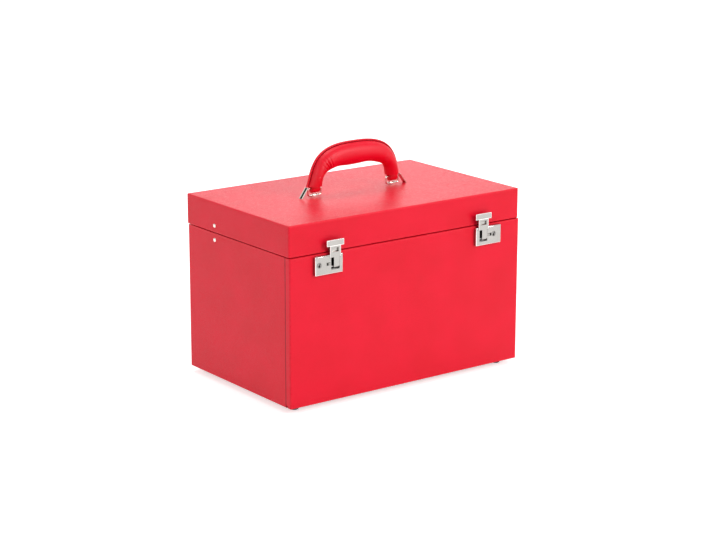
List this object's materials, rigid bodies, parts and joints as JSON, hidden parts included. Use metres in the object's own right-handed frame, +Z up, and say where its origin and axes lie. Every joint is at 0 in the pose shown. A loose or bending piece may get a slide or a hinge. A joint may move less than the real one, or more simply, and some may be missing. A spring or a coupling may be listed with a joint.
{
  "type": "jewelry case",
  "caption": "Red leather jewelry case with a hinged lid, a drop front with draw locks, drawers inside and a padded carrying handle.",
  "frame": {"origin": "centre of the overall box's footprint, on the surface that the feet stand on", "axes": "+X to the right along the front, -Y towards the front with the locks, +Z up"},
  "size_m": [0.3322, 0.2186, 0.2759],
  "materials": {
    "red_leather": "smooth, fine grain, semi-gloss",
    "red_suede": "matt suede",
    "suede_covered_board": "matt suede over board",
    "wood": "plain",
    "nickel": "polished nickel",
    "steel": "satin",
    "mirror": "polished",
    "foot_rubber": "matt"
  },
  "bodies": {
    "case": {"base_board": "wood", "left_wall_board": "wood", "right_wall_board": "wood", "back_wall_board": "wood", "body_cover": "red_leather", "body_lining": "red_suede", "drawer_shelves": "wood", "top_insert": "suede_covered_board", "ring_rolls": "red_suede", "feet": "foot_rubber", "foot_screws": "steel", "case_hinge_screws": "steel", "back_hinge_body_leaf": "steel", "front_hinge_base_leaf": "steel", "hinge_pins": "steel", "case_stay_rivets": "nickel"},
    "lid": {"lid_core": "wood", "lid_cover": "red_leather", "lid_lining": "red_suede", "mirror_glass": "mirror", "mirror_frame": "suede_covered_board", "back_hinge_lid_leaf": "steel", "lid_hinge_screws": "steel", "lid_stay_rivets": "nickel", "lid_catch_left": "nickel", "lid_catch_right": "nickel", "lid_rivets": "nickel", "handle_chape_left": "nickel", "handle_chape_right": "nickel"},
    "front_panel": {"front_board": "wood", "front_cover": "red_leather", "front_lining": "red_suede", "front_hinge_panel_leaf": "steel", "panel_hinge_screws": "steel", "lock_case_left": "nickel", "lock_case_right": "nickel", "hasp_pins": "steel", "lock_screws": "steel"},
    "drawer_low": {"drawer_lower": "suede_covered_board", "drawer_lining_lower": "red_suede"},
    "drawer_mid": {"drawer_middle": "suede_covered_board", "drawer_lining_middle": "red_suede"},
    "drawer_up": {"drawer_upper": "suede_covered_board", "drawer_lining_upper": "red_suede"},
    "lower_stay_left": {"stay_lower_left": "steel", "stay_mid_rivet_left": "steel"},
    "lower_stay_right": {"stay_lower_right": "steel", "stay_mid_rivet_right": "steel"},
    "upper_stay_left": {"stay_upper_left": "steel"},
    "upper_stay_right": {"stay_upper_right": "steel"},
    "handle_rings": {"handle_ring_left": "nickel", "handle_ring_right": "nickel"},
    "handle": {"handle_grip": "red_leather", "handle_core": "steel"},
    "left_hasp": {"hasp_left": "nickel"},
    "right_hasp": {"hasp_right": "nickel"},
    "left_slide": {"thumb_slide_left": "nickel"},
    "right_slide": {"thumb_slide_right": "nickel"},
    "left_plug": {"key_plug_left": "nickel"},
    "right_plug": {"key_plug_right": "nickel"}
  },
  "joints": [
    {"name": "lid_hinge", "type": "hinge", "parent": "case", "child": "lid", "pos_m": [0, 0.107, 0.1796], "axis": [-1, 0, 0], "range_deg": [0, 95]},
    {"name": "panel_hinge", "type": "hinge", "parent": "case", "child": "front_panel", "pos_m": [0, -0.0953, 0.0095], "axis": [1, 0, 0], "range_deg": [0, 87]},
    {"name": "drawer_low_slide", "type": "slide", "parent": "case", "child": "drawer_low", "axis": [0, -1, 0], "range_m": [0, 0.15]},
    {"name": "drawer_mid_slide", "type": "slide", "parent": "case", "child": "drawer_mid", "axis": [0, -1, 0], "range_m": [0, 0.15]},
    {"name": "drawer_up_slide", "type": "slide", "parent": "case", "child": "drawer_up", "axis": [0, -1, 0], "range_m": [0, 0.15]},
    {"name": "lower_stay_left_pivot", "type": "hinge", "parent": "case", "child": "lower_stay_left", "pos_m": [-0.156, 0.0455, 0.1712], "axis": [-1, 0, 0], "range_deg": [0, 95]},
    {"name": "lower_stay_right_pivot", "type": "hinge", "parent": "case", "child": "lower_stay_right", "pos_m": [0.156, 0.0455, 0.1712], "axis": [-1, 0, 0], "range_deg": [0, 95]},
    {"name": "upper_stay_left_pivot", "type": "hinge", "parent": "lid", "child": "upper_stay_left", "pos_m": [-0.1542, 0.0455, 0.188], "axis": [-1, 0, 0], "range_deg": [-95, 0]},
    {"name": "upper_stay_right_pivot", "type": "hinge", "parent": "lid", "child": "upper_stay_right", "pos_m": [0.1542, 0.0455, 0.188], "axis": [-1, 0, 0], "range_deg": [-95, 0]},
    {"name": "ring_swing", "type": "hinge", "parent": "lid", "child": "handle_rings", "pos_m": [0, 0.0008, 0.2177], "axis": [1, 0, 0], "range_deg": [-45, 45]},
    {"name": "handle_tilt", "type": "hinge", "parent": "handle_rings", "child": "handle", "pos_m": [0, 0.0008, 0.2261], "axis": [1, 0, 0], "range_deg": [-15, 15]},
    {"name": "left_hasp_flip", "type": "hinge", "parent": "front_panel", "child": "left_hasp", "pos_m": [-0.10505, -0.1067, 0.1636], "axis": [-1, 0, 0], "range_deg": [-90, 0]},
    {"name": "right_hasp_flip", "type": "hinge", "parent": "front_panel", "child": "right_hasp", "pos_m": [0.10835, -0.1067, 0.1636], "axis": [-1, 0, 0], "range_deg": [-90, 0]},
    {"name": "left_slide_travel", "type": "slide", "parent": "front_panel", "child": "left_slide", "axis": [-1, 0, 0], "range_m": [0, 0.0022], "stiffness_N_per_m": 200},
    {"name": "right_slide_travel", "type": "slide", "parent": "front_panel", "child": "right_slide", "axis": [1, 0, 0], "range_m": [0, 0.0022], "stiffness_N_per_m": 200},
    {"name": "left_plug_turn", "type": "hinge", "parent": "front_panel", "child": "left_plug", "pos_m": [-0.1284, -0.107, 0.1675], "axis": [0, 1, 0], "range_deg": [0, 90]},
    {"name": "right_plug_turn", "type": "hinge", "parent": "front_panel", "child": "right_plug", "pos_m": [0.1224, -0.107, 0.1675], "axis": [0, 1, 0], "range_deg": [0, 90]}
  ],
  "couplings": [
    {"joint": "drawer_low_slide", "follows": "panel_hinge", "m_per_rad": 0.0135},
    {"joint": "drawer_mid_slide", "follows": "panel_hinge", "m_per_rad": 0.052},
    {"joint": "drawer_up_slide", "follows": "panel_hinge", "m_per_rad": 0.092},
    {"joint": "lower_stay_left_pivot", "follows": "lid_hinge", "ratio": 1},
    {"joint": "lower_stay_right_pivot", "follows": "lid_hinge", "ratio": 1},
    {"joint": "upper_stay_left_pivot", "follows": "lid_hinge", "ratio": -1},
    {"joint": "upper_stay_right_pivot", "follows": "lid_hinge", "ratio": -1}
  ]
}
